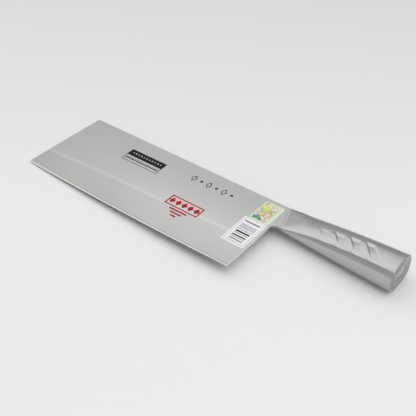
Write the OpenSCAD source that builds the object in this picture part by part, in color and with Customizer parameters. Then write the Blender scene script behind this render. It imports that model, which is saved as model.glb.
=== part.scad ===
// A broad kitchen knife with a hollow steel handle, lying on its side.
// It is drawn with the heel line of the blade at x = 0, the cutting edge near y = 0 and the middle
// plane of the blade at z = 0. The tip points to -X, the butt to +X and the spine to +Y.
// The last step moves it to its own frame, centred over the surface that the handle lies on.

/* [Blade] */
// Length of the spine from the heel line to the tip
blade_len = 205; // [150:1:260]
// Height from the heel end of the cutting edge to the spine
blade_h = 86.5; // [75:0.5:110]
// Thickness of the flat upper part of the blade
blade_t = 2; // [1.6:0.1:2.2]
// How far the tip reaches further at the cutting edge than at the spine
tip_rake = 3; // [0:0.5:8]
// How far the cutting edge rises from the heel to the tip
tip_rise = 3; // [0:0.5:6]
// How far the cutting edge bellies out below its chord
edge_belly = 1.7; // [0.4:0.1:3]
// Height of the grind line at the heel
grind_heel_h = 36; // [28:1:45]
// Height of the grind line at the tip
grind_tip_h = 27; // [20:1:40]
// Thickness left behind the sharpened bevel at the heel
behind_edge_t = 0.7; // [0.5:0.05:1.1]
// Width of the sharpened bevel
edge_bevel_w = 2; // [1:0.1:3]
// Thickness of the sharpened edge itself
apex_t = 0.1; // [0.05:0.01:0.2]
// Radius of the corner between the spine and the front of the blade
tip_corner_r = 1; // [0.5:0.1:3]
// Radius of the inner corner between the heel and the neck
notch_r = 3; // [1:0.5:3]
// Length of the tang inside the handle
tang_len = 38; // [20:1:60]
// Height of the tang
tang_h = 14; // [8:0.5:18]
// Thickness of the tang, which keeps the thickness of the sheet
tang_t = 2.4; // [2.2:0.1:3.2]

/* [Handle] */
// Length of the handle from the middle of the neck to the butt
handle_len = 102; // [90:1:130]
// Distance of the handle's axis below the spine
axis_drop = 12.8; // [11:0.1:16]
// Height of the handle at the neck
neck_h = 25.6; // [22:0.1:30]
// Thickness of the handle at the neck
neck_t = 4.4; // [3.8:0.1:8]
// Height of the handle at the butt
butt_h = 33.4; // [28:0.2:40]
// Thickness of the handle at the butt
butt_t = 24.8; // [20:0.2:30]
// Wall of the two pressed shells
wall_t = 1.6; // [1.4:0.1:2.2]
// Distance from the heel line to the middle of the neck
neck_gap = 3.5; // [3:0.5:8]
// How far the neck line leans from its middle to each end
neck_lean = 4; // [0:0.5:5]
// Width of the weld seams between the shells
seam_w = 0.8; // [0.4:0.1:1.2]
// Length of the weld collar at the neck
collar_len = 5; // [3:0.5:8]
// Width of the weld bead in front of the butt cap
butt_weld_w = 0.8; // [0.4:0.1:1.5]
// Thickness of the butt cap
cap_t = 2.4; // [2:0.1:4]
// Radius round the rim of the butt cap
rim_r = 1.4; // [0.6:0.1:1.8]
// Height of the locating lip on the butt cap
cap_lip_h = 2.5; // [1.5:0.5:5]
// Clearance between the lip and the shells
lip_gap = 0.15; // [0.1:0.05:0.3]

/* [Grip recesses] */
// Number of slanted recesses on each side of the handle
recess_count = 4; // [1:1:4]
// Distance from the heel line to the first recess, along its upper edge
recess_start = 35; // [30:0.5:40]
// Spacing of the recesses
recess_pitch = 12.4; // [11:0.2:13]
// Width of a recess along its upper edge
recess_w = 7.8; // [5:0.2:9]
// Depth of the steep wall of a recess
recess_depth = 0.9; // [0.4:0.1:1]
// Slant of the recesses from the cross direction, in degrees
recess_slant = 35; // [20:1:40]
// Height of the first recess's upper edge above the handle's axis
recess_top = -0.6; // [-1:0.2:3]
// Rise of the upper edge from each recess to the next
recess_rise = 1.4; // [0:0.2:1.8]
// Distance of the recesses' lower ends below the handle's axis
recess_foot = 11.6; // [9:0.2:12]

/* [Labels] */
// Thickness of the paper labels
label_t = 0.12; // [0.08:0.02:0.3]
// Width of the striped label, along the blade
stripe_label_w = 20.6; // [15:0.2:30]
// Height of the striped label
stripe_label_h = 34; // [20:0.5:40]
// Width of the coloured label, along the blade
colour_label_w = 18; // [12:0.2:30]
// Height of the coloured label
colour_label_h = 26; // [15:0.5:27]
// Distance of the labels from the heel line
label_inset = 2.2; // [1:0.2:6]
// Distance of the coloured label from the spine
label_drop = 3.8; // [2:0.2:8]
// Gap between the two labels
label_gap = 0.4; // [0.2:0.1:2]

/* [Hidden] */

blade_steel = "#C2C2C0";
handle_steel = "#A8A7A4";
weld_steel = "#B4B3B0";
paper_white = "#F1F1F3";
foil_green = "#D8E6A8";

// One overrun serves all cuts
over = 1;
// Steps along the edge, round a corner, along and round the handle, over the rim and across a recess
edge_steps = 24;
corner_steps = 6;
handle_steps = 24;
ring_steps = 22;
rim_steps = 4;
collar_steps = 4;
recess_steps = 5;

// Squareness of the handle's section at the neck and at the butt
neck_power = 5;
butt_power = 2.6;
power_fade = 6;
// How quickly the handle's thickness and height grow along its length
flare_power = 2;
growth_power = 1.1;
// How far the weld collar stands out over the blade where it starts
collar_proud = 0.25;
// Wall of the locating lip
lip_wall = 1.4;
// Shares of a recess's depth that are left at its shallow side and at its foot
side_depth_share = 0.2;
foot_depth_share = 0.2;
// How much wider a recess is at its foot
foot_width_share = 1.35;

axis_y = blade_h - axis_drop;
notch_y = axis_y - neck_h / 2;
tip_x = -(blade_len + tip_rake);
butt_x = neck_gap + handle_len;
neck_slope = neck_lean / (neck_h / 2);
front_x = neck_gap - neck_lean;
collar_x = neck_gap + collar_len;
cap_x = butt_x - cap_t;
weld_x = cap_x - butt_weld_w;
half_seam = seam_w / 2;

grind_angle = atan((grind_heel_h - grind_tip_h) / (blade_len + tip_rake));
bevel_drop = (blade_t - behind_edge_t) / 2;
bevel_run = (grind_heel_h - edge_bevel_w) * cos(grind_angle);
bevel_angle = atan(bevel_drop / bevel_run);
front_angle = atan(tip_rake / (blade_h - tip_rise));

// The lowest point of the cutting edge, as a share of the way from heel to tip
low_share = max(0, (4 * edge_belly - tip_rise) / (8 * edge_belly));
low_y = edge_y(tip_x * low_share);
high_y = max(blade_h, axis_y + butt_h / 2);
mid_x = (tip_x + butt_x) / 2;
mid_y = (low_y + high_y) / 2;

function mix(a, b, share) = a + (b - a) * share;

function reversed(points) = [for (i = [len(points) - 1:-1:0]) points[i]];

function arc(centre, r, from, to) =
    [for (i = [0:corner_steps])
        let (angle = mix(from, to, i / corner_steps))
        centre + r * [cos(angle), sin(angle)]];

// Height of the cutting edge at x
function edge_y(x) =
    let (share = x / tip_x)
    tip_rise * share - 4 * edge_belly * share * (1 - share);

// Half thickness of the blade below the grind line
function bevel_half(x, y) =
    let (below = (grind_heel_h + x * tan(grind_angle) - y) * cos(grind_angle))
    blade_t / 2 - below * tan(bevel_angle);

function neck_line_x(y) = neck_gap - neck_slope * (y - axis_y);

function handle_share(x) = min(1, max(0, (x - front_x) / (butt_x - front_x)));

function half_height(x) = mix(neck_h, butt_h, pow(handle_share(x), growth_power)) / 2;

function half_thickness(x) = mix(butt_t, neck_t, pow(1 - handle_share(x), flare_power)) / 2;

function section_power(x) = mix(butt_power, neck_power, pow(1 - handle_share(x), power_fade));

// Height of the handle's upper side over the middle plane
function side_z(x, y) =
    let (share = min(1, abs(y - axis_y) / half_height(x)))
    let (power = section_power(x))
    mix(half_seam, half_thickness(x), pow(1 - pow(share, power), 1 / power));

// The sections lean with the neck line and stand square at the butt
function lean(x) = neck_slope * pow(1 - min(1, (x - neck_gap) / handle_len), 2);

// Where a leaning section reaches a share of its height, found in three rounds
function leaning_x(x, share, inset, from, rounds = 3) =
    rounds == 0 ? from
    : leaning_x(x, share, inset, x - lean(x) * share * (half_height(from) - inset), rounds - 1);

// A point of the upper half of the section through x, drawn in by an inset
function section_point(x, angle, inset) =
    let (power = section_power(x))
    let (share = sign(cos(angle)) * pow(abs(cos(angle)), 2 / power))
    let (px = leaning_x(x, share, inset, x))
    let (rise = pow(abs(sin(angle)), 2 / power))
    [
        px,
        axis_y + share * (half_height(px) - inset),
        mix(half_seam, half_thickness(px) - inset, rise)
    ];

function upper_ring(x, inset) =
    [for (i = [0:ring_steps]) section_point(x, 180 * i / ring_steps, inset)];

// The ring all round a section, with its thickness scaled
function full_ring(x, inset, flat = 1) =
    let (upper = upper_ring(x, inset))
    concat(
        [for (p = upper) [p.x, p.y, p.z * flat]],
        [for (p = reversed(upper)) [p.x, p.y, -p.z * flat]]
    );

function shell_ring(x) = concat(upper_ring(x, 0), reversed(upper_ring(x, wall_t)));

// The section of a seam weld on the spine side, at 0 degrees, or the belly side, at 180
function seam_ring(x, angle) =
    let (outer = section_point(x, angle, 0))
    let (inner = section_point(x, angle, wall_t))
    [
        [outer.x, outer.y, -half_seam],
        [outer.x, outer.y, half_seam],
        [inner.x, inner.y, half_seam],
        [inner.x, inner.y, -half_seam]
    ];

function stations(from, to, count) = [for (i = [0:count]) mix(from, to, i / count)];

// A solid through rings of equal length, closed by a strip at each end
module loft(rings) {
    count = len(rings[0]);
    last = (len(rings) - 1) * count;
    sides = [for (r = [0:len(rings) - 2]) for (i = [0:count - 1])
        let (a = r * count + i, b = r * count + (i + 1) % count)
        each [[a, a + count, b], [b, a + count, b + count]]];
    first_cap = [for (i = [0:count / 2 - 2])
        each [[i, i + 1, count - 1 - i], [i + 1, count - 2 - i, count - 1 - i]]];
    last_cap = [for (f = first_cap) [last + f[0], last + f[2], last + f[1]]];
    polyhedron([for (ring = rings) each ring], concat(sides, first_cap, last_cap), convexity = 8);
}

module placed() {
    translate([-mid_x, -mid_y, butt_t / 2]) children();
}

module blade_outline() {
    polygon(concat(
        [for (x = stations(0, tip_x, edge_steps)) [x, edge_y(x)]],
        reversed(arc(
            [-blade_len + tip_corner_r * (1 - sin(front_angle)) / cos(front_angle), blade_h - tip_corner_r],
            tip_corner_r, 90, 180 - front_angle)),
        [[neck_line_x(blade_h), blade_h], [neck_line_x(notch_y), notch_y]],
        arc([notch_r, notch_y - notch_r], notch_r, 90, 180)
    ));
}

// The long shallow grind on the upper side, lifted by a skin
module grind_cut(skin) {
    translate([0, grind_heel_h, blade_t / 2 + skin])
        rotate([0, 0, grind_angle])
            rotate([bevel_angle, 0, 0])
                translate([-2 * blade_len, -blade_h, 0])
                    cube([3 * blade_len, blade_h, blade_t]);
}

// The sharpened bevel on the upper side, which follows the belly of the edge
module edge_cut() {
    loft([for (i = [edge_steps + 1:-1:-1])
        let (x = tip_x * i / edge_steps, y = edge_y(x), top = bevel_half(x, y + edge_bevel_w))
        let (slope = (top - apex_t / 2) / edge_bevel_w)
        [
            [x, y - over, apex_t / 2],
            [x, y, apex_t / 2],
            [x, y + edge_bevel_w + over, top + over * slope],
            [x, y - over, top + over * slope]
        ]]);
}

// The slab that the blade is ground from, on both sides, thickened by a skin
module ground_slab(skin) {
    difference() {
        linear_extrude(blade_t + 2 * skin, center = true) children();
        grind_cut(skin);
        mirror([0, 0, 1]) grind_cut(skin);
    }
}

// The tongue behind the neck line, which is left as thick as the sheet
module tang_outline() {
    polygon([
        [neck_line_x(axis_y + tang_h / 2), axis_y + tang_h / 2],
        [neck_gap + tang_len, axis_y + tang_h / 2],
        [neck_gap + tang_len, axis_y - tang_h / 2],
        [neck_line_x(axis_y - tang_h / 2), axis_y - tang_h / 2]
    ]);
}

module blade() {
    color(blade_steel) placed() union() {
        difference() {
            ground_slab(0) blade_outline();
            edge_cut();
            mirror([0, 0, 1]) edge_cut();
        }
        linear_extrude(tang_t, center = true) tang_outline();
    }
}

// The weld metal between blade and shells, ground to a smooth collar round the tang
module neck_weld() {
    start_flat = (blade_t / 2 + collar_proud) / half_thickness(neck_gap);
    color(weld_steel) placed() difference() {
        loft([for (i = [0:collar_steps])
            let (share = i / collar_steps)
            full_ring(mix(neck_gap, collar_x, share), 0, mix(start_flat, 1, sin(90 * share)))]);
        translate([front_x - over, axis_y - tang_h / 2, -tang_t / 2])
            cube([tang_len + neck_lean + over, tang_h, tang_t]);
    }
}

// What one recess takes from the upper side: deep at its steep wall, shallow opposite and at its foot
module recess_cut(number) {
    top_x = recess_start + number * recess_pitch;
    top_y = axis_y + recess_top + number * recess_rise;
    foot_y = axis_y - recess_foot;
    foot_x = top_x + (top_y - foot_y) * tan(recess_slant);
    loft([for (i = [0:recess_steps])
        let (across = i / recess_steps)
        let (floor_points = [for (j = [0:recess_steps])
            let (down = j / recess_steps)
            let (x = mix(top_x + across * recess_w, foot_x + across * recess_w * foot_width_share, down))
            let (y = mix(top_y, foot_y, down))
            let (left = mix(1, side_depth_share, across) * mix(1, foot_depth_share, down * down))
            [x, y, side_z(x, y) - recess_depth * left]])
        concat([for (p = floor_points) [p.x, p.y, butt_t]], reversed(floor_points))]);
}

// One pressed half of the hollow handle with its row of slanted recesses
module pressed_shell() {
    difference() {
        loft([for (x = stations(collar_x, weld_x, handle_steps)) shell_ring(x)]);
        for (number = [0:recess_count - 1]) recess_cut(number);
    }
}

module handle_upper_shell() {
    color(handle_steel) placed() pressed_shell();
}

module handle_lower_shell() {
    color(handle_steel) placed() mirror([0, 0, 1]) pressed_shell();
}

module seam_weld(angle) {
    color(weld_steel) placed()
        loft([for (x = stations(collar_x, weld_x, handle_steps)) seam_ring(x, angle)]);
}

module spine_seam_weld() {
    seam_weld(0);
}

module belly_seam_weld() {
    seam_weld(180);
}

module butt_weld() {
    color(weld_steel) placed() difference() {
        loft([full_ring(weld_x, 0), full_ring(cap_x, 0)]);
        loft([full_ring(weld_x - over, wall_t), full_ring(cap_x + over, wall_t)]);
    }
}

// The plain end plate, with a rounded rim outside and a locating lip inside
module butt_cap() {
    lip_inset = wall_t + lip_gap;
    color(handle_steel) placed() difference() {
        loft(concat(
            [full_ring(cap_x - cap_lip_h, lip_inset), full_ring(cap_x, lip_inset), full_ring(cap_x, 0)],
            [for (i = [0:rim_steps])
                let (angle = 90 * i / rim_steps)
                full_ring(butt_x - rim_r * (1 - sin(angle)), rim_r * (1 - cos(angle)))]
        ));
        loft([for (x = [cap_x - cap_lip_h - over, cap_x]) full_ring(x, lip_inset + lip_wall)]);
    }
}

// A thin label that follows the upper side of the blade under its outline
module label(x, y, w, h) {
    placed() intersection() {
        translate([x, y, 0]) cube([w, h, blade_t]);
        difference() {
            ground_slab(label_t) blade_outline();
            ground_slab(0) blade_outline();
        }
    }
}

label_split_y = blade_h - label_drop - colour_label_h;

module striped_label() {
    color(paper_white) label(
        -label_inset - stripe_label_w,
        label_split_y - label_gap - stripe_label_h,
        stripe_label_w,
        stripe_label_h
    );
}

module coloured_label() {
    color(foil_green) label(-label_inset - colour_label_w, label_split_y, colour_label_w, colour_label_h);
}

blade();
neck_weld();
handle_upper_shell();
handle_lower_shell();
spine_seam_weld();
belly_seam_weld();
butt_weld();
butt_cap();
striped_label();
coloured_label();
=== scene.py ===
import math

import bmesh
import bpy
from mathutils import Matrix, Vector


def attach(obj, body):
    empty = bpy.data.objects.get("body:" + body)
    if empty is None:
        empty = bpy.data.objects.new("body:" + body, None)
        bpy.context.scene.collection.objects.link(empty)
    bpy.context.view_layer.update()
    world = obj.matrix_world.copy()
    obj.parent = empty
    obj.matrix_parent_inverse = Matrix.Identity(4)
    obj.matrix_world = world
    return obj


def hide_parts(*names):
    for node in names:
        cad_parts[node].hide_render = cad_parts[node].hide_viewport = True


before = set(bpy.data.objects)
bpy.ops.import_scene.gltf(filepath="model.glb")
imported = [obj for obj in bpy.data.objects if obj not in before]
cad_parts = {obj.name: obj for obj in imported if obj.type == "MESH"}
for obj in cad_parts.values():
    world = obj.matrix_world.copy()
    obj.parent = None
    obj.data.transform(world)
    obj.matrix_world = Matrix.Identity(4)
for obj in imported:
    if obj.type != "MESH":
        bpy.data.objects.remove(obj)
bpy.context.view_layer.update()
print("frame loaded with", len(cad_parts), "nodes")

# All shapes are worked out in millimetres from the heel line and the cutting edge, then placed in metres
millimetre = 0.001  # in metres
metre = 1000  # in millimetres
origin = {"x": 51.25, "y": -44.9346, "z": 12.4}
toRow = Matrix.Scale(millimetre, 4) @ Matrix.Translation((origin["x"], origin["y"], origin["z"]))


def mix(a, b, share):
    return a + (b - a) * share


def smooth(share):
    share = min(1, max(0, share))
    return share * share * (3 - 2 * share)


cameraSetup = {
    "place": (0.337574, -0.471181, 0.474146),
    "turn": (51.5434, -1.5706, 36.8851),
    "lens": 80.41,
    "sensor": 36,
}

cameraData = bpy.data.cameras.new("camera")
cameraData.lens = cameraSetup["lens"]
cameraData.sensor_width = cameraSetup["sensor"]
camera = bpy.data.objects.new("camera", cameraData)
camera.location = cameraSetup["place"]
camera.rotation_euler = [math.radians(angle) for angle in cameraSetup["turn"]]
bpy.context.collection.objects.link(camera)
bpy.context.scene.camera = camera
bpy.context.scene.view_settings.view_transform = "Standard"
print("camera placed")


def linkNodes(tree, *pairs):
    for source, target in pairs:
        tree.links.new(source, target)


def addNode(tree, kind, at, **inputs):
    node = tree.nodes.new(kind)
    node.location = at
    for name, value in inputs.items():
        node.inputs[name].default_value = value
    return node


def addMath(tree, operation, at, a=None, b=None, c=None, clamp=False):
    node = tree.nodes.new("ShaderNodeMath")
    node.operation = operation
    node.use_clamp = clamp
    node.location = at
    for socket, value in zip(node.inputs, (a, b, c)):
        if isinstance(value, (int, float)):
            socket.default_value = value
        elif value is not None:
            tree.links.new(value, socket)
    return node.outputs[0]


def addRamp(tree, at, source, stops, interpolation="LINEAR"):
    node = tree.nodes.new("ShaderNodeValToRGB")
    node.location = at
    node.color_ramp.interpolation = interpolation
    while len(node.color_ramp.elements) < len(stops):
        node.color_ramp.elements.new(0.5)
    for element, (position, colour) in zip(node.color_ramp.elements, stops):
        element.position = position
        element.color = (*colour, 1)
    tree.links.new(source, node.inputs[0])
    return node.outputs[0]


def addMask(tree, at, source, low, high):
    return addRamp(tree, at, source, [(low, (0, 0, 0)), (high, (1, 1, 1))])


def addBlend(tree, at, share, base, over):
    # a Mix node's two colours are its sockets 6 and 7, and the blend of them is its output 2
    node = addNode(tree, "ShaderNodeMix", at)
    node.data_type = "RGBA"
    linkNodes(tree, (share, node.inputs[0]), (base, node.inputs[6]))
    if isinstance(over, tuple):
        node.inputs[7].default_value = over
    else:
        linkNodes(tree, (over, node.inputs[7]))
    return node.outputs[2]


def newMaterial(name):
    material = bpy.data.materials.new(name)
    material.use_nodes = True
    tree = material.node_tree
    tree.nodes.clear()
    output = addNode(tree, "ShaderNodeOutputMaterial", (900, 0))
    shader = addNode(tree, "ShaderNodeBsdfPrincipled", (600, 0))
    tree.links.new(shader.outputs[0], output.inputs[0])
    return material, tree, shader


studio = {
    "floorTilt": 2.153,  # the knife lies on its butt and on the point of the blade
    "floorThrough": (-0.15675, 0, 0.0114),
    "floorSize": 120,
    "floorNear": (0.88, 0.88, 0.895),
    "floorFarShade": (0.74, 0.74, 0.745),
    "shadeAcross": -0.6,  # painted shade: the paper is coloured darker towards the back and, more slowly, towards the tip's side, in place of the light falling off
    "shadeShift": 0.1,
    "shadeEnd": 0.55,
    "floorRough": 0.75,
    "floorGloss": 0.2,
    "lampPlace": (0.95, -0.15, 1.05),
    "lampSize": 1.2,
    "lampPower": 1.6,
    "strength": 1.3,
    "underStrength": 2.45,  # makes the world as pale as the floor below the horizon
    # brightness of the studio round the handle's line, from the back horizon over the ceiling to the front
    "bands": [
        (0.0, 0.33), (0.18, 0.357), (0.243, 0.82), (0.31, 0.84), (0.40, 0.92),
        (0.62, 0.92), (0.65, 0.33), (0.71, 0.35), (0.78, 0.40), (1.0, 0.45),
    ],
}

floorMesh = bpy.data.meshes.new("floor")
bm = bmesh.new()
bmesh.ops.create_grid(bm, x_segments=4, y_segments=4, size=studio["floorSize"] / 2)
bm.to_mesh(floorMesh)
bm.free()
floor = bpy.data.objects.new("floor", floorMesh)
bpy.context.collection.objects.link(floor)
floor.location = studio["floorThrough"]
floor.rotation_euler = (0, math.radians(studio["floorTilt"]), 0)

floorMaterial, tree, shader = newMaterial("floorPaper")
coordinates = addNode(tree, "ShaderNodeTexCoord", (-600, 0))
split = addNode(tree, "ShaderNodeSeparateXYZ", (-400, 0))
# painted shade: the floor's colour darkens with distance from the knife, standing in for light falling off
depth = addMath(
    tree, "MULTIPLY_ADD", (-200, 0), split.outputs["X"], studio["shadeAcross"], studio["shadeShift"])
depth = addMath(tree, "ADD", (-50, 0), depth, split.outputs["Y"])
paper = addRamp(
    tree, (200, 0), depth, [(0.0, studio["floorNear"]), (studio["shadeEnd"], studio["floorFarShade"])])
linkNodes(
    tree,
    (coordinates.outputs["Object"], split.inputs[0]),
    (paper, shader.inputs["Base Color"]),
)
shader.inputs["Roughness"].default_value = studio["floorRough"]
shader.inputs["Specular IOR Level"].default_value = studio["floorGloss"]
floorMesh.materials.append(floorMaterial)

world = bpy.data.worlds.new("studio")
bpy.context.scene.world = world
world.use_nodes = True
tree = world.node_tree
tree.nodes.clear()
coordinates = addNode(tree, "ShaderNodeTexCoord", (-900, 0))
split = addNode(tree, "ShaderNodeSeparateXYZ", (-700, 0))
turn = addMath(tree, "ARCTAN2", (-500, 0), split.outputs["Z"], split.outputs["Y"])
turn = addMath(tree, "DIVIDE", (-300, 0), turn, math.pi)
brightness = addRamp(
    tree, (-100, 0), turn, [(place, (value, value, value)) for place, value in studio["bands"]])
under = addMath(tree, "LESS_THAN", (-500, -200), split.outputs["Z"], 0)
extra = studio["underStrength"] - studio["strength"]
strength = addMath(tree, "MULTIPLY_ADD", (0, -200), under, extra, studio["strength"])
background = addNode(tree, "ShaderNodeBackground", (250, 0))
output = addNode(tree, "ShaderNodeOutputWorld", (450, 0))
linkNodes(
    tree,
    (coordinates.outputs["Generated"], split.inputs[0]),
    (brightness, background.inputs["Color"]),
    (strength, background.inputs["Strength"]),
    (background.outputs[0], output.inputs[0]),
)

lampData = bpy.data.lights.new("softbox", "AREA")
lampData.shape = "SQUARE"
lampData.size = studio["lampSize"]
lampData.energy = studio["lampPower"]
lamp = bpy.data.objects.new("softbox", lampData)
lamp.location = studio["lampPlace"]
lamp.rotation_euler = (-Vector(studio["lampPlace"])).to_track_quat("-Z", "Y").to_euler()
bpy.context.collection.objects.link(lamp)
print("floor and light made")


def newGroup(name, inputs, outputs):
    group = bpy.data.node_groups.new(name, "ShaderNodeTree")
    for label, kind, value in inputs:
        socket = group.interface.new_socket(name=label, in_out="INPUT", socket_type=kind)
        if value is not None:
            socket.default_value = value
    for label, kind in outputs:
        group.interface.new_socket(name=label, in_out="OUTPUT", socket_type=kind)
    entry = addNode(group, "NodeGroupInput", (-1000, 0))
    leave = addNode(group, "NodeGroupOutput", (1000, 0))
    return group, entry, leave


def useGroup(tree, group, at, **inputs):
    node = tree.nodes.new("ShaderNodeGroup")
    node.node_tree = group
    node.location = at
    for name, value in inputs.items():
        if isinstance(value, bpy.types.NodeSocket):
            tree.links.new(value, node.inputs[name])
        else:
            node.inputs[name].default_value = value
    return node


blade = {
    "thick": 2,
    "reach": 208,
    "heelHeight": 59,
    "grindHeel": 36,  # how high the grind line lies, at the heel and at the tip
    "grindTip": 27,
    "edgeWidth": 2,
    "edgeThick": 0.7,
    "edgeBelly": 1.7,
    "tipRise": 3,
    "merge": 0.001,
    "flatAngle": 0.2,  # degrees between faces, below which they count as one
    "sharpAngle": 50,  # and above which their edge is rounded
    "round": 0.12,
    "roundSteps": 2,
    "roundUpTo": 7.6,  # the neck weld covers the rest
    "roundClear": 0.2,  # leaves the cutting edge out
}
grindAngle = math.atan((blade["grindHeel"] - blade["grindTip"]) / blade["reach"])
grindDepth = (blade["grindHeel"] - blade["edgeWidth"]) * math.cos(grindAngle)
grindSlope = (blade["thick"] - blade["edgeThick"]) / 2 / grindDepth

handle = {
    "axisY": 73.7,
    "frontX": -0.5,
    "neckX": 3.5,
    "collarX": 8.5,
    "weldX": 102.3,
    "capX": 103.1,
    "buttX": 105.5,
    "neckHeight": 25.6,
    "neckThick": 4.4,
    "buttHeight": 33.4,
    "buttThick": 24.8,
    "growth": 1.1,
    "neckSlope": 0.3125,
    "thinned": 1.70,
    "flareLength": 36,
    "neckPower": 4,  # a section of power 2 is an oval, and a higher power is squarer
    "buttPower": 2.6,
    "powerFade": 6,
    "neckSquare": 3,
    "squareLength": 20,
    "beadWidth": 1.5,
    "beadPlace": 0.6,
    "beadRise": 0.12,
    "seam": 0.8,
    "wall": 1.6,
    "cell": 0.5,
    "roundCells": 140,
}


# Fine parallel lines from the grinding belt, with a few deeper ones
belt = {"coarser": 0.23, "deepFrom": 0.62, "deepTo": 0.75, "deepTone": -0.25}
brushedGrain, entry, leave = newGroup(
    "brushedGrain",
    [
        ("Direction", "NodeSocketVector", None), ("Lines", "NodeSocketFloat", 900.0),
        ("Depth", "NodeSocketFloat", 0.5),
    ],
    [("Lines", "NodeSocketFloat"), ("Height", "NodeSocketFloat")],
)
fine = addNode(brushedGrain, "ShaderNodeTexNoise", (-600, 200), Detail=3.0, Roughness=0.6)
coarse = addNode(brushedGrain, "ShaderNodeTexNoise", (-600, -200), Detail=2.0, Roughness=0.5)
fewer = addMath(brushedGrain, "MULTIPLY", (-800, -200), entry.outputs["Lines"], belt["coarser"])
linkNodes(
    brushedGrain,
    (entry.outputs["Direction"], fine.inputs["Vector"]),
    (entry.outputs["Direction"], coarse.inputs["Vector"]),
    (entry.outputs["Lines"], fine.inputs["Scale"]),
    (fewer, coarse.inputs["Scale"]),
)
deep = addMask(brushedGrain, (-300, -200), coarse.outputs["Fac"], belt["deepFrom"], belt["deepTo"])
lines = addMath(brushedGrain, "MULTIPLY_ADD", (100, 0), deep, belt["deepTone"], fine.outputs["Fac"])
height = addMath(brushedGrain, "MULTIPLY", (400, -200), lines, entry.outputs["Depth"])
linkNodes(brushedGrain, (lines, leave.inputs["Lines"]), (height, leave.inputs["Height"]))

# Faint cloudy marks from wiping and handling
wiping = {"finer": 3.1, "smearFrom": 0.50, "smearTo": 0.72}
wipeMarks, entry, leave = newGroup(
    "wipeMarks",
    [("Place", "NodeSocketVector", None), ("Size", "NodeSocketFloat", 18.0)],
    [("Cloud", "NodeSocketFloat"), ("Smear", "NodeSocketFloat")],
)
cloud = addNode(wipeMarks, "ShaderNodeTexNoise", (-500, 200), Detail=4.0, Roughness=0.55)
smear = addNode(wipeMarks, "ShaderNodeTexNoise", (-500, -200), Detail=5.0, Roughness=0.65, Distortion=1.5)
finer = addMath(wipeMarks, "MULTIPLY", (-700, -200), entry.outputs["Size"], wiping["finer"])
streaks = addMask(wipeMarks, (-100, -200), smear.outputs["Fac"], wiping["smearFrom"], wiping["smearTo"])
linkNodes(
    wipeMarks,
    (entry.outputs["Place"], cloud.inputs["Vector"]),
    (entry.outputs["Place"], smear.inputs["Vector"]),
    (entry.outputs["Size"], cloud.inputs["Scale"]),
    (finer, smear.inputs["Scale"]),
    (cloud.outputs["Fac"], leave.inputs["Cloud"]),
    (streaks, leave.inputs["Smear"]),
)

# A soft line over the surface, and the share of the surface beyond it, measured like the shapes
lineSoftness = 0.3
softLine, entry, leave = newGroup(
    "softLine",
    [
        ("Place", "NodeSocketVector", None), ("Across", "NodeSocketVector", (1, 0, 0)),
        ("Offset", "NodeSocketFloat", 0.0), ("Width", "NodeSocketFloat", 1.0),
    ],
    [("Line", "NodeSocketFloat"), ("Beyond", "NodeSocketFloat")],
)
measured = addNode(softLine, "ShaderNodeVectorMath", (-750, 100))
measured.operation = "MULTIPLY_ADD"
measured.inputs[1].default_value = (metre, metre, metre)
measured.inputs[2].default_value = (-origin["x"], -origin["y"], -origin["z"])
reached = addNode(softLine, "ShaderNodeVectorMath", (-550, 100))
reached.operation = "DOT_PRODUCT"
reach = addMath(softLine, "SUBTRACT", (-350, 100), reached.outputs["Value"], entry.outputs["Offset"])
reach = addMath(softLine, "DIVIDE", (-200, 100), reach, entry.outputs["Width"])
away = addMath(softLine, "ABSOLUTE", (-50, 200), reach)
near = addMath(softLine, "SUBTRACT", (100, 200), 1.0, away, clamp=True)
linkNodes(
    softLine,
    (entry.outputs["Place"], measured.inputs[0]),
    (measured.outputs[0], reached.inputs[0]),
    (entry.outputs["Across"], reached.inputs[1]),
    (addMath(softLine, "SMOOTH_MIN", (300, 200), near, 1.0, lineSoftness), leave.inputs["Line"]),
    (addMath(softLine, "MULTIPLY_ADD", (300, -100), reach, 0.5, 0.5, clamp=True), leave.inputs["Beyond"]),
)

# How far a place lies above the cutting edge, which bellies out between heel and tip
bow = 4 * blade["edgeBelly"]  # of the parabola that the belly follows
edgeHeight, entry, leave = newGroup(
    "edgeHeight", [("Place", "NodeSocketVector", None)], [("Above", "NodeSocketFloat")])
split = addNode(edgeHeight, "ShaderNodeSeparateXYZ", (-750, 0))
share = addMath(
    edgeHeight, "MULTIPLY_ADD", (-500, 100),
    split.outputs["X"], -metre / blade["reach"], origin["x"] / blade["reach"])
belly = addMath(edgeHeight, "MULTIPLY_ADD", (-300, 100), share, bow, blade["tipRise"] - bow)
height = addMath(edgeHeight, "MULTIPLY_ADD", (-300, -100), split.outputs["Y"], metre, -origin["y"])
edge = addMath(edgeHeight, "MULTIPLY", (-100, 100), share, belly)
above = addMath(edgeHeight, "SUBTRACT", (300, 0), height, edge)
linkNodes(edgeHeight, (entry.outputs["Place"], split.inputs[0]), (above, leave.inputs["Above"]))


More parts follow.
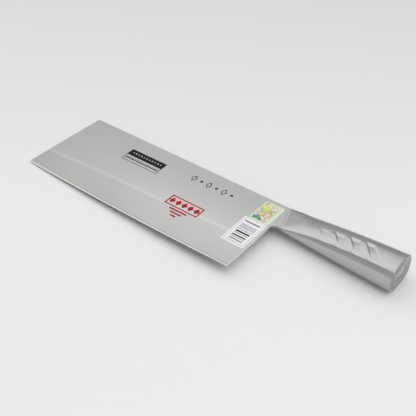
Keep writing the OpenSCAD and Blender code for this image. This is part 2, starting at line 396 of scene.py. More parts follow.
def steelMaterial(name, look, accents=None):
    material, tree, shader = newMaterial(name)
    place = addNode(tree, "ShaderNodeTexCoord", (-1300, 0))
    stretch = addNode(tree, "ShaderNodeMapping", (-1100, 0), Scale=look["stretch"])
    linkNodes(tree, (place.outputs["Object"], stretch.inputs["Vector"]))
    grain = useGroup(
        tree, brushedGrain, (-850, 150),
        Direction=stretch.outputs[0], Lines=look["lines"], Depth=look["lineDepth"])
    marks = useGroup(
        tree, wipeMarks, (-850, -200), Place=place.outputs["Object"], Size=look["markSize"])
    tone = addMath(
        tree, "MULTIPLY_ADD", (-550, 200),
        grain.outputs["Lines"], look["lineTone"], 0.5 - look["lineTone"] / 2)
    tone = addMath(tree, "MULTIPLY_ADD", (-400, 100), marks.outputs["Cloud"], look["cloudTone"], tone)
    tone = addMath(tree, "ADD", (-250, 100), tone, -look["cloudTone"] / 2)
    rough = addMath(
        tree, "MULTIPLY_ADD", (-400, -100),
        grain.outputs["Lines"], look["lineRough"], look["rough"] - look["lineRough"] / 2)
    rough = addMath(tree, "MULTIPLY_ADD", (-250, -150), marks.outputs["Smear"], look["smearRough"], rough)
    if accents:
        tone, rough = accents(tree, place.outputs["Object"], tone, rough)
    base = addRamp(tree, (-50, 200), tone, [(0.0, look["dark"]), (1.0, look["light"])])
    if "edgeHighlight" in look:
        base = paintEdgeHighlight(tree, place.outputs["Object"], base, look["edgeHighlight"])
    bump = addNode(tree, "ShaderNodeBump", (200, -300), Strength=look["bump"], Distance=look["relief"])
    linkNodes(
        tree,
        (base, shader.inputs["Base Color"]),
        (rough, shader.inputs["Roughness"]),
        (grain.outputs["Height"], bump.inputs["Height"]),
        (bump.outputs["Normal"], shader.inputs["Normal"]),
    )
    shader.inputs["Metallic"].default_value = 1.0
    return material


bladeAccent = {
    "paintedSheen": 0.42,  # painted sheen: a broad lighter zone round the grind line, which fades out at the tip
    "paintedSheenWidth": 42,
    "line": 0.18,  # painted highlight along the grind line itself, which is also a little glossier
    "lineDrop": 1,
    "lineWidth": 3.2,
    "lineRough": -0.05,
    "flat": 0.14,  # the part of the blade above the grind line
    "bevel": -0.45,  # the sharpened bevel
    "bevelCrisp": 2,
    # painted shade: the blade's colour darkens towards the tip
    "tip": -0.22,
    "tipShadeStart": 150.0,
    "tipShadeWidth": 60.0,
    "whole": -0.17,
}


def bladeAccents(tree, place, tone, rough):
    accent = bladeAccent
    across = (-math.tan(grindAngle), 1, 0)
    # painted sheen round the grind line, fading out towards the tip
    paintedSheen = useGroup(
        tree, softLine, (-850, -400),
        Place=place, Across=across, Offset=blade["grindHeel"], Width=accent["paintedSheenWidth"])
    # painted highlight along the grind line, which also sets the part above it apart
    line = useGroup(
        tree, softLine, (-850, -600),
        Place=place, Across=across, Offset=blade["grindHeel"] - accent["lineDrop"], Width=accent["lineWidth"])
    # painted shade towards the tip
    tip = useGroup(
        tree, softLine, (-850, -1000),
        Place=place, Across=(-1, 0, 0), Offset=accent["tipShadeStart"], Width=accent["tipShadeWidth"])
    above = useGroup(tree, edgeHeight, (-850, -800), Place=place)
    bevel = addMath(
        tree, "MULTIPLY_ADD", (-600, -800), above.outputs[0],
        -accent["bevelCrisp"], 1 + accent["bevelCrisp"] * blade["edgeWidth"], clamp=True)
    paintedSheenShare = addMath(
        tree, "MULTIPLY_ADD", (-650, -1000), tip.outputs["Beyond"], -accent["paintedSheen"], accent["paintedSheen"])
    layers = (
        (paintedSheen.outputs["Line"], paintedSheenShare),
        (line.outputs["Line"], accent["line"]),
        (bevel, accent["bevel"]),
        (tip.outputs["Beyond"], accent["tip"]),
        (line.outputs["Beyond"], accent["flat"]),
    )
    for number, (mask, amount) in enumerate(layers):
        at = (-500 + 150 * number, -400 - 100 * number)
        tone = addMath(tree, "MULTIPLY_ADD", at, mask, amount, tone)
    tone = addMath(tree, "ADD", (250, -800), tone, accent["whole"], clamp=True)
    rough = addMath(tree, "MULTIPLY_ADD", (-350, -950), line.outputs["Line"], accent["lineRough"], rough)
    return tone, rough


def paintEdgeHighlight(tree, place, base, edgeHighlight):
    # painted highlight: bright along the cutting edge and on the cut face at the heel
    above = useGroup(tree, edgeHeight, (-50, 450), Place=place)
    heel = useGroup(
        tree, softLine, (-50, 650), Place=place, Across=(1, 0, 0), Offset=0.0, Width=edgeHighlight["heelWidth"])
    low = useGroup(
        tree, softLine, (-50, 850),
        Place=place, Across=(0, -1, 0), Offset=-blade["heelHeight"], Width=edgeHighlight["heelFade"])
    mask = addMath(
        tree, "MULTIPLY_ADD", (150, 450), above.outputs[0],
        -edgeHighlight["crisp"], 1 + edgeHighlight["crisp"] * edgeHighlight["width"], clamp=True)
    cut = addMath(tree, "MULTIPLY", (150, 700), heel.outputs["Line"], low.outputs["Beyond"])
    cut = addMath(tree, "MULTIPLY", (250, 700), cut, edgeHighlight["heelGain"], clamp=True)
    share = addMath(tree, "MAXIMUM", (350, 500), mask, cut)
    return addBlend(tree, (450, 300), share, base, (*edgeHighlight["colour"], 1))


weldAccent = {"past": 0.8, "width": 1.3, "tone": 0.9, "rough": 0.22}


def neckAccents(tree, place, tone, rough):
    # the weld line between blade and handle, a little lighter and duller
    weld = useGroup(
        tree, softLine, (-850, -450), Place=place, Across=(1, handle["neckSlope"], 0),
        Offset=handle["neckX"] + weldAccent["past"] + handle["neckSlope"] * handle["axisY"],
        Width=weldAccent["width"])
    tone = addMath(
        tree, "MULTIPLY_ADD", (-450, -450), weld.outputs["Line"], weldAccent["tone"], tone, clamp=True)
    rough = addMath(tree, "MULTIPLY_ADD", (-300, -600), weld.outputs["Line"], weldAccent["rough"], rough)
    return tone, rough


# painted shade: the end face of the cap is coloured darker than its side
capToneAndShade = {"faceFrom": 0.5, "faceBlend": 0.35, "face": -0.33, "whole": 0.25}


def paintCapToneAndShade(tree, place, tone, rough):
    # bright round the side like the shells, and painted shade that colours the end face darker
    face = useGroup(
        tree, softLine, (-850, -450), Place=place, Across=(1, 0, 0),
        Offset=handle["buttX"] - capToneAndShade["faceFrom"], Width=capToneAndShade["faceBlend"])
    tone = addMath(tree, "MULTIPLY_ADD", (-450, -450), face.outputs["Beyond"], capToneAndShade["face"], tone)
    return addMath(tree, "ADD", (-300, -450), tone, capToneAndShade["whole"], clamp=True), rough


bladeLook = {
    "stretch": (1, 0.045, 1),  # ground across the blade, from spine to edge
    "lines": 1500,
    "lineDepth": 0.6,
    "lineTone": 0.35,
    "cloudTone": 0.5,
    "markSize": 9,
    "dark": (0.42, 0.42, 0.415),
    "light": (0.65, 0.65, 0.645),
    "rough": 0.34,
    "lineRough": 0.10,
    "smearRough": 0.05,
    "bump": 0.05,
    "relief": 0.0001,  # metres
    # painted highlight along the cutting edge and on the heel's cut face
    "edgeHighlight": {
        "width": 0.5, "crisp": 3, "heelWidth": 0.4, "heelFade": 0.5, "heelGain": 2.0,
        "colour": (0.78, 0.74, 0.69),
    },
}
handleLook = {
    "stretch": (0.03, 1, 1),  # polished lengthwise
    "lines": 1300,
    "lineDepth": 0.7,
    "lineTone": 0.5,
    "cloudTone": 0.3,
    "markSize": 26,
    "dark": (0.42, 0.42, 0.41),
    "light": (0.58, 0.58, 0.57),
    "rough": 0.22,
    "lineRough": 0.10,
    "smearRough": 0.06,
    "bump": 0.06,
    "relief": 0.0001,
}
weldLook = dict(handleLook, stretch=(0.2, 1, 1), rough=0.28, light=(0.57, 0.57, 0.56))
capLook = dict(
    handleLook, rough=0.26, dark=(0.20, 0.20, 0.20), light=(0.60, 0.60, 0.59), lineTone=0.25, cloudTone=0.15)

bladeSteel = steelMaterial("bladeSteel", bladeLook, bladeAccents)
handleSteel = steelMaterial("handleSteel", handleLook)
neckSteel = steelMaterial("neckSteel", handleLook, neckAccents)
weldSteel = steelMaterial("weldSteel", weldLook)
capSteel = steelMaterial("capSteel", capLook, paintCapToneAndShade)


inkLook = {
    "fleck": 1500,
    "markSize": 40.0,
    "cloudTone": 0.4,
    "darkAt": 0.25,
    "lightAt": 0.75,
    "rough": 0.5,
    "toneRough": 0.15,
    "gloss": 0.15,
    "bump": 0.2,
    "relief": 0.00005,  # metres
}


def printMaterial(name, **changes):
    look = dict(inkLook, **changes)
    material, tree, shader = newMaterial(name)
    place = addNode(tree, "ShaderNodeTexCoord", (-900, 0))
    fleck = addNode(tree, "ShaderNodeTexNoise", (-600, 100), Scale=look["fleck"], Detail=3.0)
    marks = useGroup(tree, wipeMarks, (-600, -200), Place=place.outputs["Object"], Size=look["markSize"])
    tone = addMath(
        tree, "MULTIPLY_ADD", (-350, 0), marks.outputs["Cloud"], look["cloudTone"], -look["cloudTone"] / 2)
    tone = addMath(tree, "ADD", (-200, 0), tone, fleck.outputs["Fac"], clamp=True)
    base = addRamp(tree, (0, 100), tone, [(look["darkAt"], look["dark"]), (look["lightAt"], look["light"])])
    rough = addMath(tree, "MULTIPLY_ADD", (0, -100), tone, look["toneRough"], look["rough"])
    bump = addNode(tree, "ShaderNodeBump", (200, -300), Strength=look["bump"], Distance=look["relief"])
    linkNodes(
        tree,
        (place.outputs["Object"], fleck.inputs["Vector"]),
        (base, shader.inputs["Base Color"]),
        (rough, shader.inputs["Roughness"]),
        (fleck.outputs["Fac"], bump.inputs["Height"]),
        (bump.outputs["Normal"], shader.inputs["Normal"]),
    )
    shader.inputs["Specular IOR Level"].default_value = look["gloss"]
    return material


blackInk = printMaterial("blackInk", dark=(0.006, 0.006, 0.006), light=(0.016, 0.016, 0.016))
greyInk = printMaterial("greyInk", dark=(0.055, 0.055, 0.060), light=(0.10, 0.10, 0.11))
brownInk = printMaterial("brownInk", dark=(0.030, 0.024, 0.020), light=(0.065, 0.054, 0.047))
paleInk = printMaterial("paleInk", dark=(0.38, 0.38, 0.38), light=(0.55, 0.55, 0.55))
redInk = printMaterial("redInk", dark=(0.34, 0.010, 0.010), light=(0.48, 0.020, 0.016))
greenInk = printMaterial("greenInk", dark=(0.44, 0.68, 0.20), light=(0.60, 0.80, 0.30), gloss=0.4)
paleFoil = printMaterial(
    "paleFoil", dark=(0.64, 0.74, 0.68), light=(0.78, 0.86, 0.80), fleck=900, rough=0.3, gloss=0.5)
whitePaper = printMaterial(
    "whitePaper", dark=(0.86, 0.865, 0.89), light=(0.93, 0.935, 0.96),
    fleck=700, rough=0.45, gloss=0.4, bump=0.4)
print("finishes made")


def handleShare(x):
    return min(1, max(0, (x - handle["frontX"]) / (handle["buttX"] - handle["frontX"])))


def halfHeight(x):
    return mix(handle["neckHeight"], handle["buttHeight"], handleShare(x) ** handle["growth"]) / 2


def halfThickness(x):
    # flares out of the neck weld, which stands a little proud of the blade
    flared = mix(handle["buttThick"], handle["neckThick"], (1 - handleShare(x)) ** 2) / 2
    past = max(0, x - handle["neckX"])
    thinned = handle["thinned"] * max(0, 1 - past / handle["flareLength"]) ** 2
    fromBead = abs(past - handle["beadPlace"] * handle["beadWidth"])
    bead = handle["beadRise"] * (1 - smooth(fromBead / handle["beadWidth"]))
    return flared - thinned + bead


def sectionPower(x):
    # square like the blade's back at the neck, and rounder all the way to the butt
    power = mix(handle["buttPower"], handle["neckPower"], (1 - handleShare(x)) ** handle["powerFade"])
    near = max(0, 1 - max(0, x - handle["neckX"]) / handle["squareLength"])
    return power + handle["neckSquare"] * near ** 2


def lean(x):
    past = (x - handle["neckX"]) / (handle["buttX"] - handle["neckX"])
    return handle["neckSlope"] * (1 - min(1, past)) ** 2


def leaningX(x, share, inset=0):
    # the height depends on where the leaning section ends up, so it is found in three rounds
    found = x
    for step in range(3):
        found = x - lean(x) * share * (halfHeight(found) - inset)
    return found


def roundShares(angle, power):
    across, up = math.cos(angle), math.sin(angle)
    size = (abs(across) ** power + abs(up) ** power) ** (1 / power)
    return across / size, up / size


def placeSection(x, share, rise, inset=0, thick=None):
    half = handle["seam"] / 2
    return Vector((
        x,
        handle["axisY"] + share * (halfHeight(x) - inset),
        mix(half, (thick or halfThickness(x)) - inset, rise),
    ))


def spread(keys, cell):
    # stations between the keys, about a cell apart
    stations = [keys[0]]
    for start, end in zip(keys, keys[1:]):
        count = max(1, round((end - start) / cell))
        stations += [mix(start, end, step / count) for step in range(1, count + 1)]
    return stations


def gridPiece(name, columns, rows, placeVertex, closed=False, finishMesh=None):
    bm = bmesh.new()
    bmesh.ops.create_grid(bm, x_segments=columns, y_segments=rows, size=0.5)
    for vert in bm.verts:
        vert.co = placeVertex(round((vert.co.x + 0.5) * columns), round((vert.co.y + 0.5) * rows))
    if closed:
        bmesh.ops.remove_doubles(bm, verts=bm.verts, dist=0.0005)
    for edge in bm.edges:
        edge.smooth = not edge.is_boundary
    if finishMesh:
        finishMesh(bm)
    return finishPiece(name, bm)


def finishPiece(name, bm, smoothFaces=True):
    bmesh.ops.transform(bm, matrix=toRow, verts=bm.verts)
    for face in bm.faces:
        face.smooth = smoothFaces
    mesh = bpy.data.meshes.new(name)
    bm.to_mesh(mesh)
    bm.free()
    piece = bpy.data.objects.new(name, mesh)
    bpy.context.collection.objects.link(piece)
    return piece


def dress(piece, material, slot, *nodes):
    piece.data.materials.append(material)
    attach(piece, "root")
    if nodes:
        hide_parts(*nodes)


def addWall(piece):
    wall = piece.modifiers.new("wall", "SOLIDIFY")
    wall.thickness = handle["wall"] * millimetre
    wall.offset = -1


def thicken(bm, vec):
    grown = bmesh.ops.extrude_face_region(bm, geom=bm.faces[:], use_keep_orig=True)
    verts = [item for item in grown["geom"] if isinstance(item, bmesh.types.BMVert)]
    bmesh.ops.translate(bm, vec=vec, verts=verts)
    bmesh.ops.recalc_face_normals(bm, faces=bm.faces)


recess = {
    "count": 4,
    "start": 34.6,
    "pitch": 12.4,
    "width": 8.6,
    "depths": (0.45, 1.05, 1.25, 1.4),
    "slants": (32.5, 37.5),  # degrees, of the first and the last
    "footWidths": (1.05, 1.55),
    "top": -0.6,
    "rise": 1.4,
    "foot": 12.6,
    "sideShare": 0.85,
    "footShare": 0.13,
    "fades": (1.2, 3),  # how late a recess fades towards its foot, at its steep wall and at its far side
    "wall": 2.1,
    "wallPower": 3,
    "softWalls": (1.1, 2.6),  # the far side, at the top and below
    "topWall": 2.4,
    "footWall": 4,
    "ridge": 0.32,
    "ridgeWidth": 3.4,
    "gridShares": (0, 0.3, 0.55, 0.78, 1),  # grid lines across a steep wall
    "leanFrom": 14,  # the grid lines lean over from here, and stand upright again at the butt weld
    "leanIn": 17,
    "leanOut": 13,
    "fanOut": 1,  # widens the pitch, because each recess leans over more than the one before
}


def recessCorner(number):
    # the upper end of the steep wall
    x = recess["start"] + number * recess["pitch"]
    y = handle["axisY"] + recess["top"] + number * recess["rise"]
    return x, y


def recessSlope(number):
    # the recesses lean over more towards the butt
    share = min(1, max(0, number / (recess["count"] - 1)))
    return math.tan(math.radians(mix(*recess["slants"], share)))


recessFoot = handle["axisY"] - recess["foot"]
recessTop = recessCorner(recess["count"] - 1)[1]
recessMiddle = (recessFoot + recessTop) / 2


def recessDepth(x, y):
    # steepest at the top and towards the neck, where a low ridge stands before the wall
    found = 0
    early, late = recess["fades"]
    for number in range(recess["count"]):
        topX, topY = recessCorner(number)
        if not recessFoot < y < topY:
            continue
        down = (topY - y) / (topY - recessFoot)
        width = recess["width"] * mix(1, mix(*recess["footWidths"], number / (recess["count"] - 1)), down)
        inside = x - topX - (topY - y) * recessSlope(number)
        if not -recess["ridgeWidth"] < inside < width:
            continue
        top = min(1, (topY - y) / recess["topWall"])
        top = mix(top, smooth(top), 0.5)  # half rounded
        reach = recess["depths"][number] * top * smooth((y - recessFoot) / recess["footWall"])
        wallShare = max(0, inside / recess["wall"])
        crest = smooth(1 + inside / recess["ridgeWidth"]) * (1 - smooth(2 * wallShare))
        found -= recess["ridge"] * crest * reach * mix(1, recess["footShare"], down)
        if inside > 0:
            along = inside / width
            fade = mix(1, recess["footShare"], mix(down ** early, down ** late, along))
            fade *= mix(1, recess["sideShare"], along)
            softWall = mix(*recess["softWalls"], min(1, 2 * down))  # softest from half-way down
            wall = min(1, wallShare) ** recess["wallPower"]
            found += reach * fade * wall * smooth((width - inside) / softWall)
    return found


# Grid lines run along the slanted walls of the recesses, so that the walls stay crisp
shellKeys = [handle["collarX"]]
for number in range(recess["count"]):
    topX, topY = recessCorner(number)
    wallX = topX + (topY - recessMiddle) * recessSlope(number)
    shellKeys += [wallX + recess["wall"] * share for share in recess["gridShares"]]
shellKeys.append(handle["weldX"])
shellStations = spread(shellKeys, handle["cell"])


def makeShell(name, side, node):
    rows = handle["roundCells"]

    def placeVertex(column, row):
        x = shellStations[column]
        share, rise = roundShares(math.pi * row / rows, sectionPower(x))
        leanShare = smooth((x - recess["leanFrom"]) / recess["leanIn"])
        leanShare *= smooth((handle["weldX"] - x) / recess["leanOut"])
        slope = recessSlope((x - shellKeys[1]) / (recess["pitch"] + recess["fanOut"]))
        leaned = leaningX(x, share)
        found = x
        for step in range(2):  # in rounds, as in leaningX
            y = handle["axisY"] + share * halfHeight(found)
            slanted = x + slope * (recessMiddle - min(max(y, recessFoot), recessTop))
            found = mix(leaned, slanted, leanShare)
        point = placeSection(found, share, rise, thick=halfThickness(mix(x, found, leanShare)))
        point.z = side * (point.z - recessDepth(point.x, point.y))
        return point

    def finishMesh(bm):
        if side > 0:
            bmesh.ops.reverse_faces(bm, faces=bm.faces)

    shell = gridPiece(name, len(shellStations) - 1, rows, placeVertex, finishMesh=finishMesh)
    addWall(shell)
    dress(shell, handleSteel, "handle_steel", node)


makeShell("handleUpperShell", 1, "handle_upper_shell")
makeShell("handleLowerShell", -1, "handle_lower_shell")
print("handle shells made")


def ringPoint(x, row, rows, inset=0, thick=None):
    # goes over the upper side from spine to belly, then back under the lower side
    half = rows // 2 - 1
    row %= rows
    side = 1 if row <= half else -1
    turn = row if row <= half else rows - 1 - row
    share, rise = roundShares(math.pi * turn / half, sectionPower(x))
    point = placeSection(leaningX(x, share, inset), share, rise, inset, thick or halfThickness(x))
    point.z *= side
    return point


def closeRing(bm):
    bmesh.ops.holes_fill(bm, edges=[edge for edge in bm.edges if edge.is_boundary], sides=0)
    bmesh.ops.recalc_face_normals(bm, faces=bm.faces)


collar = {"toe": 0.5, "sunk": 0.9, "columns": 24, "crowding": 1.5}
ringRows = 2 * handle["roundCells"] + 2


def placeCollar(column, row):
    startX = handle["neckX"] - collar["toe"]
    x = mix(startX, handle["collarX"], (column / collar["columns"]) ** collar["crowding"])
    thick = mix(collar["sunk"], halfThickness(x), smooth((x - startX) / collar["toe"]))
    return ringPoint(x, row, ringRows, thick=thick)


neckCollar = gridPiece(
    "neckCollar", collar["columns"], ringRows, placeCollar, closed=True, finishMesh=closeRing)
dress(neckCollar, neckSteel, "handle_steel", "neck_weld")

seamWeld = {"cell": 0.8, "rows": 4, "crown": 0.01}


def makeSeam(name, side, node):
    stations = spread([handle["collarX"], handle["weldX"]], seamWeld["cell"])

    def placeVertex(column, row):
        x = leaningX(stations[column], side)
        across = row / seamWeld["rows"] - 0.5
        crown = seamWeld["crown"] * (1 - 4 * across * across)
        return Vector((x, placeSection(x, side, 0).y + side * crown, across * handle["seam"]))

    def finishMesh(bm):
        thicken(bm, (0, -side * handle["wall"], 0))

    seam = gridPiece(name, len(stations) - 1, seamWeld["rows"], placeVertex, finishMesh=finishMesh)
    dress(seam, weldSteel, "handle_steel", node)


makeSeam("spineSeam", 1, "spine_seam_weld")
makeSeam("bellySeam", -1, "belly_seam_weld")

buttWeld = {"columns": 2}


def placeButtWeld(column, row):
    x = mix(handle["weldX"], handle["capX"], column / buttWeld["columns"])
    return ringPoint(x, row, ringRows)


def outwardRing(bm):
    bmesh.ops.reverse_faces(bm, faces=bm.faces)


buttSeam = gridPiece(
    "buttSeam", buttWeld["columns"], ringRows, placeButtWeld, closed=True, finishMesh=outwardRing)
addWall(buttSeam)
dress(buttSeam, weldSteel, "handle_steel", "butt_weld")

cap = {
    "rim": 0.8, "rimSteps": 8, "band": 1.2, "bevel": 0.35, "sink": 0.6,
    "ribs": 2, "ribIn": 1.2, "ribTop": 0.7, "lastStep": 0.4,
}
capRings = [(handle["capX"], 0)]
for step in range(cap["rimSteps"] + 1):
    turn = math.pi / 2 * step / cap["rimSteps"]
    back = cap["rim"] * (1 - math.sin(turn))
    capRings.append((handle["buttX"] - back, cap["rim"] * (1 - math.cos(turn))))
inset = cap["rim"] + cap["band"]
low, high = handle["buttX"] - cap["sink"], handle["buttX"]
capRings += [(high, inset), (low, inset + cap["bevel"])]
inset += cap["bevel"]
for rib in range(cap["ribs"]):
    for x, further in ((low, cap["ribIn"]), (high, cap["bevel"]), (high, cap["ribTop"]), (low, cap["bevel"])):
        inset += further
        capRings.append((x, inset))
capRings.append((low, inset + cap["lastStep"]))


def placeCap(column, row):
    x, inset = capRings[column]
    point = ringPoint(x, row, ringRows, inset)
    point.x = x
    return point


buttCap = gridPiece("buttCap", len(capRings) - 1, ringRows, placeCap, closed=True, finishMesh=closeRing)
dress(buttCap, capSteel, "handle_steel", "butt_cap")
print("neck, seams and butt made")


def bladeTop(x, y):
    below = (blade["grindHeel"] + x * math.tan(grindAngle) - y) * math.cos(grindAngle)
    return blade["thick"] / 2 - max(0, below) * grindSlope


bm = bmesh.new()
bm.from_mesh(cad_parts["blade"].data)
bmesh.ops.transform(bm, matrix=toRow.inverted(), verts=bm.verts)
bmesh.ops.remove_doubles(bm, verts=bm.verts, dist=blade["merge"])
bmesh.ops.dissolve_limit(bm, angle_limit=math.radians(blade["flatAngle"]), verts=bm.verts, edges=bm.edges)
rounded = [
    edge for edge in bm.edges
    if edge.is_manifold and edge.calc_face_angle() > math.radians(blade["sharpAngle"])
    and all(vert.co.x < blade["roundUpTo"] for vert in edge.verts)
    and min(abs(vert.co.z) for vert in edge.verts) > blade["roundClear"]
]
bmesh.ops.bevel(
    bm, geom=rounded, offset=blade["round"], offset_type="OFFSET", segments=blade["roundSteps"],
    profile=0.5, affect="EDGES", clamp_overlap=True, material=-1)
bladePiece = finishPiece("bladeSheet", bm, smoothFaces=False)
dress(bladePiece, bladeSteel, "blade_steel", "blade")
print("blade made")

printing = {"sunk": 0.005, "thick": 0.025, "cornerSteps": 6}


def makePrint(name, draw, material, slot, under, thickness, *nodes):
    # draws a flat shape, bends it over the grind line and sinks it a little into what is under it
    bm = bmesh.new()
    draw(bm)
    bmesh.ops.bisect_plane(
        bm, geom=bm.verts[:] + bm.edges[:] + bm.faces[:], dist=0.0001,
        plane_co=(0, blade["grindHeel"], 0), plane_no=(-math.sin(grindAngle), math.cos(grindAngle), 0))
    lift = under - printing["sunk"]
    for vert in bm.verts:
        vert.co.z = bladeTop(vert.co.x, vert.co.y) + lift
    thicken(bm, (0, 0, thickness))
    dress(finishPiece(name, bm, smoothFaces=False), material, slot, *nodes)


def cutOut(bm, faces, line):
    # leaves only an outline of the faces, as wide as the line
    bmesh.ops.inset_region(bm, faces=faces, thickness=line, use_boundary=True, use_even_offset=True)
    bmesh.ops.delete(bm, geom=faces, context="FACES")


def addRectangle(bm, x, y, width, height, corner=0):
    made = bmesh.ops.create_grid(bm, x_segments=1, y_segments=1, size=0.5)["verts"]
    middle = Matrix.Translation((x + width / 2, y + height / 2, 0))
    bmesh.ops.transform(bm, matrix=middle @ Matrix.Diagonal((width, height, 1, 1)), verts=made)
    if corner:
        bmesh.ops.bevel(
            bm, geom=made, offset=corner, offset_type="OFFSET", segments=printing["cornerSteps"],
            profile=0.5, affect="VERTICES", clamp_overlap=True, material=-1)


def addSheet(bm, box):
    addRectangle(bm, box["x"], box["y"], box["width"], box["height"], box["corner"])


def addFrame(bm, x, y, width, height, line, corner=0):
    before = set(bm.faces)
    addRectangle(bm, x, y, width, height, corner)
    cutOut(bm, [face for face in bm.faces if face not in before], line)


def addDiamond(bm, x, y, width, height, line=0):
    made = bmesh.ops.create_circle(bm, cap_ends=True, segments=4, radius=0.5)["verts"]
    matrix = Matrix.Translation((x, y, 0)) @ Matrix.Diagonal((width, height, 1, 1))
    bmesh.ops.transform(bm, matrix=matrix, verts=made)
    if line:
        cutOut(bm, made[0].link_faces[:], line)


def addRow(bm, box, middle, row):
    # diamonds side by side across the box, their heights taken in turn
    pitch = (box["width"] - 2 * row["inset"]) / (row["count"] - 1)
    for number in range(row["count"]):
        tall = row["talls"][number % len(row["talls"])]
        addDiamond(bm, box["x"] + row["inset"] + number * pitch, middle, row["wide"], tall)


panel = {
    "x": -151.2, "y": 62.8, "width": 37.4, "height": 7.8, "corner": 0.4,
    "marks": {"inset": 4, "count": 11, "wide": 1.7, "talls": (1.7, 2.6)},
    "markThick": 0.015,
    "strip": 8.2,
    "stripLine": 0.55,
    "stripMarks": {"inset": 2.5, "count": 15, "wide": 1.9, "talls": (3.4,)},
}


def drawPanel(bm):
    addSheet(bm, panel)
    addFrame(bm, panel["x"], panel["y"] - panel["strip"], panel["width"], panel["strip"], panel["stripLine"])
    addRow(bm, panel, panel["y"] - panel["strip"] / 2, panel["stripMarks"])


def drawPanelMarks(bm):
    addRow(bm, panel, panel["y"] + panel["height"] / 2, panel["marks"])


panelTop = printing["thick"] - printing["sunk"]
makePrint("panelPrint", drawPanel, blackInk, "printed_foil", 0, printing["thick"])
makePrint("panelMarks", drawPanelMarks, paleInk, "printed_foil", panelTop, panel["markThick"])

sign = {
    "x": -84.2, "y": 29.8, "width": 32.2, "height": 12.3, "line": 1.25,
    "marks": {"inset": 4, "count": 5, "wide": 5.4, "talls": (7.6,)},
    "bars": [(17, 3.4), (11, 6.8), (5, 10.2)],  # the width of each, and how far it lies below the frame
    "barTall": 1.7,
}


def drawSign(bm):
    addFrame(bm, sign["x"], sign["y"], sign["width"], sign["height"], sign["line"])
    addRow(bm, sign, sign["y"] + sign["height"] / 2, sign["marks"])
    for width, drop in sign["bars"]:
        addRectangle(bm, sign["x"] + (sign["width"] - width) / 2, sign["y"] - drop, width, sign["barTall"])


makePrint("signPrint", drawSign, redInk, "printed_foil", 0, printing["thick"])

mark = {
    "x": -84.5, "y": 70.2, "count": 6, "pitch": 7.6, "hollow": (5.2, 8.6), "line": 0.75, "solid": (3.4, 3.4),
}


def drawMark(bm):
    for number in range(mark["count"]):
        x = mark["x"] + number * mark["pitch"]
        if number % 2:
            addDiamond(bm, x, mark["y"], *mark["solid"])
        else:
            addDiamond(bm, x, mark["y"], *mark["hollow"], mark["line"])


makePrint("markPrint", drawMark, brownInk, "printed_foil", 0, printing["thick"])

stripedLabel = {
    "x": -22.8, "y": 22.3, "width": 20.6, "height": 34, "corner": 0.8, "thick": 0.12, "inkThick": 0.02,
    "frameIn": 1.4, "frameLine": 0.22, "frameCorner": 0.4,
    "stripeIn": 4, "stripeCorner": 0.1,
    # how high each stripe or row of dashes lies on the label, then the number of dashes, then how tall it is
    "stripes": [(5.0, 0.9), (7.6, 0.6), (9.4, 1.4), (12.4, 0.6), (14.2, 1.9)],
    "dashIn": 3.2, "dashShare": 0.72, "dashCorner": 0.15,
    "dashRows": [
        (2.9, 7, 0.5), (17.6, 12, 0.9), (20.0, 14, 0.8), (21.5, 14, 0.8), (23.0, 14, 0.8), (24.5, 14, 0.8),
        (28.2, 8, 1.9),
    ],
}


def drawPaper(bm):
    addSheet(bm, stripedLabel)


def drawStripes(bm):
    inset = stripedLabel["stripeIn"]
    for low, tall in stripedLabel["stripes"]:
        addRectangle(
            bm, stripedLabel["x"] + inset, stripedLabel["y"] + low,
            stripedLabel["width"] - 2 * inset, tall, stripedLabel["stripeCorner"])


def drawDashes(bm):
    inset = stripedLabel["frameIn"]
    addFrame(
        bm, stripedLabel["x"] + inset, stripedLabel["y"] + inset,
        stripedLabel["width"] - 2 * inset, stripedLabel["height"] - 2 * inset,
        stripedLabel["frameLine"], stripedLabel["frameCorner"])
    inset = stripedLabel["dashIn"]
    for low, count, tall in stripedLabel["dashRows"]:
        pitch = (stripedLabel["width"] - 2 * inset) / count
        for number in range(count):
            addRectangle(
                bm, stripedLabel["x"] + inset + number * pitch, stripedLabel["y"] + low,
                pitch * stripedLabel["dashShare"], tall, stripedLabel["dashCorner"])


paperTop = stripedLabel["thick"] - printing["sunk"]
makePrint("stripedLabel", drawPaper, whitePaper, "white_paper", 0, stripedLabel["thick"], "striped_label")
makePrint("labelStripes", drawStripes, blackInk, "white_paper", paperTop, stripedLabel["inkThick"])
makePrint("labelDashes", drawDashes, greyInk, "white_paper", paperTop, stripedLabel["inkThick"])

colouredLabel = {
    "x": -20.2, "y": 56.7, "width": 18, "height": 26, "corner": 2.2, "thick": 0.10, "inkThick": 0.02,
    "blankStrip": 3.2, "border": 0.7, "borderIn": 0.5, "patchIn": 1.6, "patchWider": 1.0, "patchCorner": 1.2,
}
mosaic = {
    "scatter": 0.95,
    "pastelShare": 0.36,  # of the patches, the others take their zone's colour
    "plainShare": 0.80,  # of the flecks, the others are strong
    "markSize": 60.0,
    "rough": 0.22,
    "cloudRough": 0.2,
    # broad zones, pastel patches and strong flecks: how close the cells lie, and their colours
    "layers": [
        (170.0, [
            (0.0, (0.76, 0.78, 0.20)), (0.12, (0.88, 0.60, 0.64)), (0.36, (0.07, 0.30, 0.27)),
            (0.50, (0.74, 0.70, 0.88)), (0.76, (0.86, 0.36, 0.08)), (0.88, (0.40, 0.66, 0.22)),
        ]),
        (520.0, [
            (0.0, (0.62, 0.80, 0.62)), (0.18, (0.84, 0.58, 0.30)), (0.32, (0.62, 0.55, 0.86)),
            (0.46, (0.86, 0.82, 0.38)), (0.60, (0.90, 0.52, 0.58)), (0.74, (0.55, 0.76, 0.84)),
            (0.88, (0.88, 0.86, 0.80)),
        ]),
        (900.0, [
            (0.0, (0.03, 0.20, 0.17)), (0.35, (0.75, 0.05, 0.04)), (0.55, (0.85, 0.36, 0.03)),
            (0.75, (0.30, 0.52, 0.06)),
        ]),
    ],
}

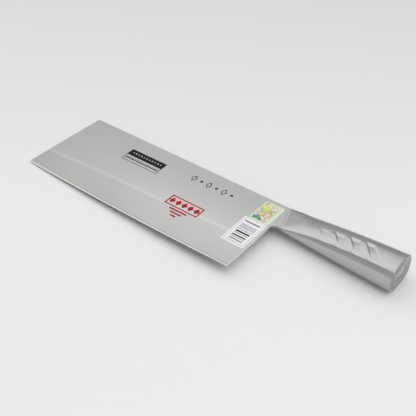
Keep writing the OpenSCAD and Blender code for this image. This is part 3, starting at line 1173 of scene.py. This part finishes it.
mosaicFoil, tree, shader = newMaterial("mosaicFoil")
place = addNode(tree, "ShaderNodeTexCoord", (-1300, 0))
colours = []
chances = []
for number, (scale, stops) in enumerate(mosaic["layers"]):
    up = 500 - 350 * number
    cells = addNode(tree, "ShaderNodeTexVoronoi", (-1000, up), Scale=scale, Randomness=mosaic["scatter"])
    split = addNode(tree, "ShaderNodeSeparateColor", (-800, up))
    linkNodes(
        tree,
        (place.outputs["Object"], cells.inputs["Vector"]),
        (cells.outputs["Color"], split.inputs[0]),
    )
    colours.append(addRamp(tree, (-600, up), split.outputs[0], stops, "CONSTANT"))
    chances.append(split.outputs[1])
zone, pastel, strong = colours
zoneShare = addMath(tree, "GREATER_THAN", (-420, 300), chances[1], mosaic["pastelShare"])
strongShare = addMath(tree, "GREATER_THAN", (-420, -100), chances[2], mosaic["plainShare"])
picture = addBlend(tree, (-250, 300), zoneShare, pastel, zone)
picture = addBlend(tree, (-250, -100), strongShare, picture, strong)
marks = useGroup(tree, wipeMarks, (-250, -200), Place=place.outputs["Object"], Size=mosaic["markSize"])
rough = addMath(
    tree, "MULTIPLY_ADD", (0, -150), marks.outputs["Cloud"], mosaic["cloudRough"], mosaic["rough"])
linkNodes(tree, (picture, shader.inputs["Base Color"]), (rough, shader.inputs["Roughness"]))


def drawFoil(bm):
    addSheet(bm, colouredLabel)


def drawBorder(bm):
    inset = colouredLabel["borderIn"]
    addFrame(
        bm, colouredLabel["x"] + inset, colouredLabel["y"] + inset,
        colouredLabel["width"] - colouredLabel["blankStrip"], colouredLabel["height"] - 2 * inset,
        colouredLabel["border"], colouredLabel["corner"] - inset)


def drawPatches(bm):
    inset = colouredLabel["patchIn"]
    width = colouredLabel["width"] - colouredLabel["blankStrip"] - 2 * inset + colouredLabel["patchWider"]
    addRectangle(
        bm, colouredLabel["x"] + inset, colouredLabel["y"] + inset,
        width, colouredLabel["height"] - 2 * inset, colouredLabel["patchCorner"])


foilTop = colouredLabel["thick"] - printing["sunk"]
makePrint("colouredLabel", drawFoil, paleFoil, "printed_foil", 0, colouredLabel["thick"], "coloured_label")
makePrint("labelBorder", drawBorder, greenInk, "printed_foil", foilTop, colouredLabel["inkThick"])
makePrint("labelPatches", drawPatches, mosaicFoil, "printed_foil", foilTop, colouredLabel["inkThick"])
print("labels made")
